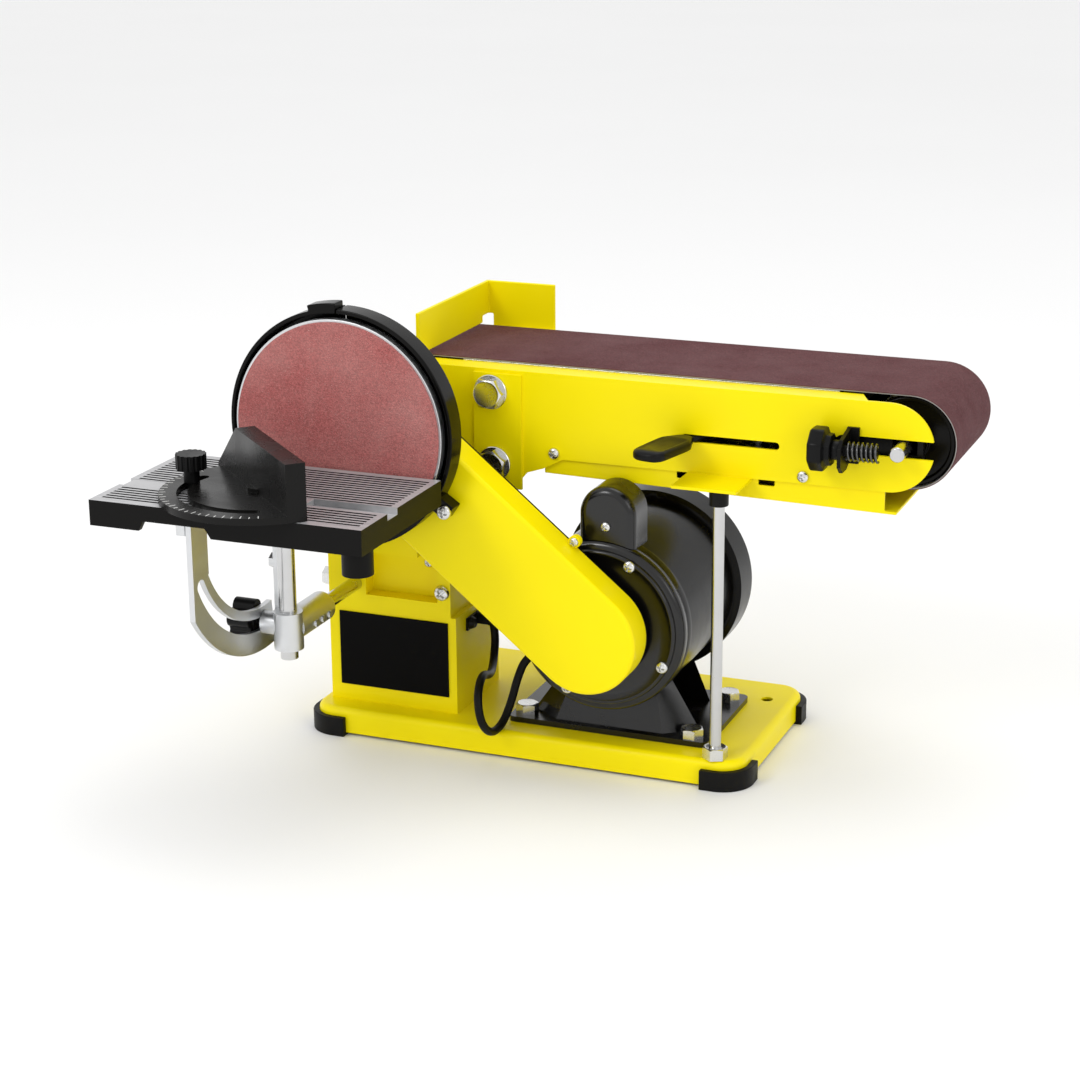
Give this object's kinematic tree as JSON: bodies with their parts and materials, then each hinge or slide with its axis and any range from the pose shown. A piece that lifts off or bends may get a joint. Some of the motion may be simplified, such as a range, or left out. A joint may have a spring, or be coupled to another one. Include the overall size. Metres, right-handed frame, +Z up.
{
  "type": "belt and disc sander",
  "caption": "Benchtop belt and disc sander: sheet base with rubber feet, side motor, covered belt drive, tilting disc table with mitre gauge, and a hinged sanding belt arm",
  "frame": {"origin": "on the bench, under the middle of the machine's outer box", "axes": "+X along the sanding belt away from the disc axis, -Y out of the disc's abrasive face toward the user, +Z up"},
  "size_m": [0.5067, 0.3635, 0.325],
  "materials": {
    "yellow_paint": "semi-gloss powder coat",
    "black_paint": "satin black powder coat",
    "black_casting": "black painted casting with ground ribs",
    "black_plastic": "fine texture",
    "rubber": "soft satin",
    "cast_aluminium": "as cast, machined edges",
    "zinc_steel": "bright zinc plate",
    "disc_abrasive": "coarse aluminium oxide grit, rosy brown",
    "belt_abrasive": "coarse aluminium oxide grit, dark red brown",
    "green_plastic": "gloss",
    "red_plastic": "gloss"
  },
  "bodies": {
    "base": {"base_pan": "yellow_paint", "rubber_feet": "rubber", "pedestal": "yellow_paint", "label_panel": "black_plastic", "housing_screws": "zinc_steel", "rod_lock_bolt": "zinc_steel", "switch_box": "black_paint", "mains_inlet": "rubber", "shaft_bearings": "zinc_steel", "guard_left": "black_paint", "guard_right": "black_paint", "drive_cover": "yellow_paint", "cover_back_plate": "black_paint", "drive_belt": "rubber", "motor_front_bell": "black_paint", "motor_stator": "black_paint", "motor_rear_bell": "black_paint", "motor_screws": "zinc_steel", "capacitor_housing": "black_plastic", "motor_mount": "black_paint", "mount_bolts": "zinc_steel", "support_rod": "zinc_steel", "support_cap": "black_plastic", "motor_lead": "rubber", "lead_clip": "black_plastic"},
    "disc_and_shaft": {"main_shaft": "zinc_steel", "disc_plate": "cast_aluminium", "abrasive_disc": "disc_abrasive", "drive_drum": "cast_aluminium", "driven_pulley": "cast_aluminium"},
    "motor_armature": {"motor_rotor": "zinc_steel", "motor_pulley": "cast_aluminium", "cooling_fan": "black_plastic"},
    "belt_arm": {"arm_side_plate": "yellow_paint", "arm_far_plate": "yellow_paint", "platen": "zinc_steel", "arm_cross_plate": "zinc_steel", "belt_tray": "yellow_paint", "arm_bolts": "zinc_steel", "tray_screws": "zinc_steel", "sanding_belt": "belt_abrasive", "work_stop": "yellow_paint", "tracking_bracket": "black_paint", "tracking_spring": "zinc_steel"},
    "idler_fork": {"idler_yoke": "zinc_steel", "idler_axle": "zinc_steel"},
    "idler_roller": {"idler_drum": "black_paint"},
    "lever": {"tension_lever": "rubber"},
    "track_screw": {"tracking_knob": "black_plastic"},
    "table_support": {"table_post": "zinc_steel", "t_clamp": "cast_aluminium", "table_rod": "zinc_steel"},
    "tilt_lock": {"tilt_knob": "black_plastic"},
    "tilting_table": {"table": "black_casting", "tilt_trunnion": "cast_aluminium"},
    "gauge_bar": {"mitre_bar": "zinc_steel"},
    "gauge_head": {"mitre_head": "black_casting"},
    "gauge_lock": {"mitre_knob": "black_plastic"},
    "start_button": {"green_button": "green_plastic"},
    "stop_button": {"red_button": "red_plastic"}
  },
  "joints": [
    {"name": "shaft_spin", "type": "hinge", "parent": "base", "child": "disc_and_shaft", "pos_m": [-0.1374, -0.0397, 0.24], "axis": [0, 1, 0], "continuous": true},
    {"name": "motor_spin", "type": "hinge", "parent": "base", "child": "motor_armature", "pos_m": [0.0266, 0.0203, 0.106], "axis": [0, 1, 0], "continuous": true},
    {"name": "arm_raise", "type": "hinge", "parent": "base", "child": "belt_arm", "pos_m": [-0.1374, 0.0463, 0.24], "axis": [0, -1, 0], "range_deg": [0, 90]},
    {"name": "idler_slide", "type": "slide", "parent": "belt_arm", "child": "idler_fork", "axis": [1, 0, 0], "range_m": [-0.005, 0]},
    {"name": "lever_swing", "type": "hinge", "parent": "belt_arm", "child": "lever", "pos_m": [0.1101, 0.1003, 0.234], "axis": [0, 0, 1], "range_deg": [0, 45]},
    {"name": "idler_spin", "type": "hinge", "parent": "idler_fork", "child": "idler_roller", "pos_m": [0.2216, 0.0703, 0.24], "axis": [0, 1, 0], "continuous": true},
    {"name": "tracking_turn", "type": "hinge", "parent": "belt_arm", "child": "track_screw", "pos_m": [0.1726, 0.0303, 0.24], "axis": [1, 0, 0], "range_deg": [-360, 360]},
    {"name": "table_gap", "type": "slide", "parent": "base", "child": "table_support", "axis": [0, 1, 0], "range_m": [-0.03, 0]},
    {"name": "tilt_lock_turn", "type": "hinge", "parent": "table_support", "child": "tilt_lock", "pos_m": [-0.1954, -0.0667, 0.111], "axis": [1, 0, 0], "range_deg": [-180, 180]},
    {"name": "table_tilt", "type": "hinge", "parent": "table_support", "child": "tilting_table", "pos_m": [-0.1644, -0.0667, 0.202], "axis": [1, 0, 0], "range_deg": [0, 45]},
    {"name": "gauge_slide", "type": "slide", "parent": "tilting_table", "child": "gauge_bar", "axis": [1, 0, 0], "range_m": [-0.02, 0.06]},
    {"name": "gauge_swivel", "type": "hinge", "parent": "gauge_bar", "child": "gauge_head", "pos_m": [-0.1534, -0.1167, 0.218], "axis": [0, 0, 1], "range_deg": [-106, 13]},
    {"name": "gauge_lock_turn", "type": "hinge", "parent": "gauge_bar", "child": "gauge_lock", "pos_m": [-0.2034, -0.1167, 0.23], "axis": [0, 0, 1], "range_deg": [-180, 180]},
    {"name": "start_press", "type": "slide", "parent": "base", "child": "start_button", "axis": [1, 0, 0], "range_m": [0, 0.0025], "stiffness_N_per_m": 400},
    {"name": "stop_press", "type": "slide", "parent": "base", "child": "stop_button", "axis": [1, 0, 0], "range_m": [0, 0.0025], "stiffness_N_per_m": 400}
  ],
  "couplings": [
    {"joint": "motor_spin", "follows": "shaft_spin", "ratio": 1.5556},
    {"joint": "idler_spin", "follows": "shaft_spin", "ratio": 1},
    {"joint": "lever_swing", "follows": "idler_slide", "rad_per_m": -157.08}
  ]
}
